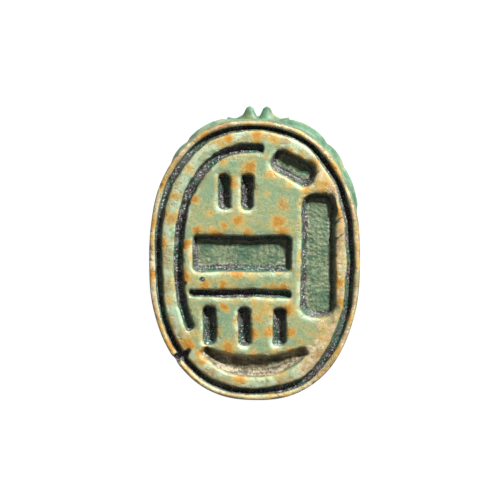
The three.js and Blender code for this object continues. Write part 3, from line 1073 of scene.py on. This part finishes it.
class ScarabStudio(bpy.types.PropertyGroup):
    """Camera and lights over the seal face."""

    tilt_head: FloatProperty(
        name="Tilt to head", description="Lean of the view towards the head",
        subtype="ANGLE", default=math.radians(11))
    tilt_side: FloatProperty(
        name="Tilt to side", description="Lean of the view towards +X",
        subtype="ANGLE", default=math.radians(4))
    frame_width: FloatProperty(
        name="Frame width", description="Width the view takes in at the seal face",
        subtype="DISTANCE", unit="LENGTH", default=29.66 * MM)
    lift: FloatProperty(
        name="Lift", description="How far the seal face sits below the middle of the view",
        subtype="DISTANCE", unit="LENGTH", default=0.72 * MM)
    lens: FloatProperty(
        name="Lens", description="Focal length in millimetres", min=20, max=400, default=200)
    key_power: FloatProperty(
        name="Key", description="Power of the key light in watts", min=0, default=1.72)
    fill: FloatProperty(
        name="Fill", description="Strength of the even light all round", min=0, default=0.09)
    glow: FloatProperty(
        name="Glow", description="Strength of the light table under the seal", min=0,
        default=1.0)


class SCARAB_OT_carve(bpy.types.Operator):
    """Carve the seal: surface, string bore and glaze"""

    bl_idname = "scarab.carve"
    bl_label = "Carve seal"

    def execute(self, context):
        piece = new_object(context, mesh_from("carved_scarab", *carved_surface()))
        drill_bore(piece)
        piece.data.materials.clear()
        piece.data.materials.append(glaze_material(context.scene.scarab_finish))
        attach(piece, "root")
        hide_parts(NODE)
        return {"FINISHED"}


class SCARAB_OT_stage(bpy.types.Operator):
    """Set the floor, the camera and the lights"""

    bl_idname = "scarab.stage"
    bl_label = "Set stage"

    def execute(self, context):
        studio = context.scene.scarab_studio
        self.floor(context, studio)
        self.camera(context, studio)
        self.lights(context, studio)
        context.scene.view_settings.view_transform = "Standard"
        return {"FINISHED"}

    def floor(self, context, studio):
        """Light table under the seal."""
        mesh = bpy.data.meshes.new("floor")
        corners = [(x * FLOOR_HALF, y * FLOOR_HALF, 0)
                   for x, y in ((-1, -1), (1, -1), (1, 1), (-1, 1))]
        mesh.from_pydata(corners, [], [(0, 1, 2, 3)])
        floor = new_object(context, mesh)
        floor.data.materials.append(table_material(studio))

    def camera(self, context, studio):
        """Camera over the face, leaning a little to the head and to the right."""
        data = bpy.data.cameras.new("camera")
        data.lens = studio.lens
        camera = new_object(context, data)
        away = Vector((math.tan(studio.tilt_side), math.tan(studio.tilt_head), 1)).normalized()
        distance = studio.frame_width * studio.lens / data.sensor_width
        right = Vector((0, 1, 0)).cross(away).normalized()
        up = away.cross(right)
        turn = Matrix((right, up, away)).transposed().to_4x4()
        aim = Vector((0, SHIFT_Y * MM, HEIGHT * MM))
        aim += up * studio.lift - right * VIEW_SHIFT
        camera.matrix_world = Matrix.Translation(aim + away * distance) @ turn
        data.clip_start, data.clip_end = 0.01, 10
        context.scene.camera = camera

    def lights(self, context, studio):
        """Square key light towards the upper right, and even light that the camera sees white."""
        data = bpy.data.lights.new("key", "AREA")
        data.size, data.energy = KEY_SIZE, studio.key_power
        light = new_object(context, data)
        turn, height = math.radians(KEY_TURN), math.radians(KEY_HEIGHT)
        away = Vector((math.cos(turn) * math.cos(height), math.sin(turn) * math.cos(height),
                       math.sin(height)))
        light.location = Vector((0, 0, HEIGHT * MM)) + away * KEY_DISTANCE
        light.rotation_mode = "QUATERNION"
        light.rotation_quaternion = away.to_track_quat("Z", "Y")

        world = bpy.data.worlds.new("even light")
        context.scene.world = world
        world.use_nodes = True
        nodes, links = world.node_tree.nodes, world.node_tree.links
        seen = nodes.new("ShaderNodeLightPath").outputs["Is Camera Ray"]
        strength = nodes.new("ShaderNodeMapRange")
        strength.inputs["To Min"].default_value = studio.fill
        strength.inputs["To Max"].default_value = 1.0
        links.new(seen, strength.inputs["Value"])
        links.new(strength.outputs["Result"], nodes["Background"].inputs["Strength"])
        nodes["Background"].inputs["Color"].default_value = (1, 1, 1, 1)


class SCARAB_PT_panel(bpy.types.Panel):
    """Colours, view and steps of the scarab seal"""

    bl_idname = "SCARAB_PT_panel"
    bl_label = "Scarab Seal"
    bl_space_type = "VIEW_3D"
    bl_region_type = "UI"
    bl_category = "Scarab Seal"

    def draw(self, context):
        for group in (context.scene.scarab_finish, context.scene.scarab_studio):
            box = self.layout.box()
            for name in group.__annotations__:
                box.prop(group, name)
        for operator in (SCARAB_OT_carve, SCARAB_OT_stage):
            self.layout.operator(operator.bl_idname)


CLASSES = (ScarabFinish, ScarabStudio, SCARAB_OT_carve, SCARAB_OT_stage, SCARAB_PT_panel)


def register():
    """Registers the classes and puts their settings on the scene."""
    for item in CLASSES:
        bpy.utils.register_class(item)
    bpy.types.Scene.scarab_finish = PointerProperty(type=ScarabFinish)
    bpy.types.Scene.scarab_studio = PointerProperty(type=ScarabStudio)


def unregister():
    """Takes the settings and the classes away again."""
    del bpy.types.Scene.scarab_studio
    del bpy.types.Scene.scarab_finish
    for item in reversed(CLASSES):
        bpy.utils.unregister_class(item)


def main():
    """Registers the classes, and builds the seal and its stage."""
    register()
    bpy.ops.scarab.carve()
    bpy.ops.scarab.stage()


if __name__ == "__main__":
    main()
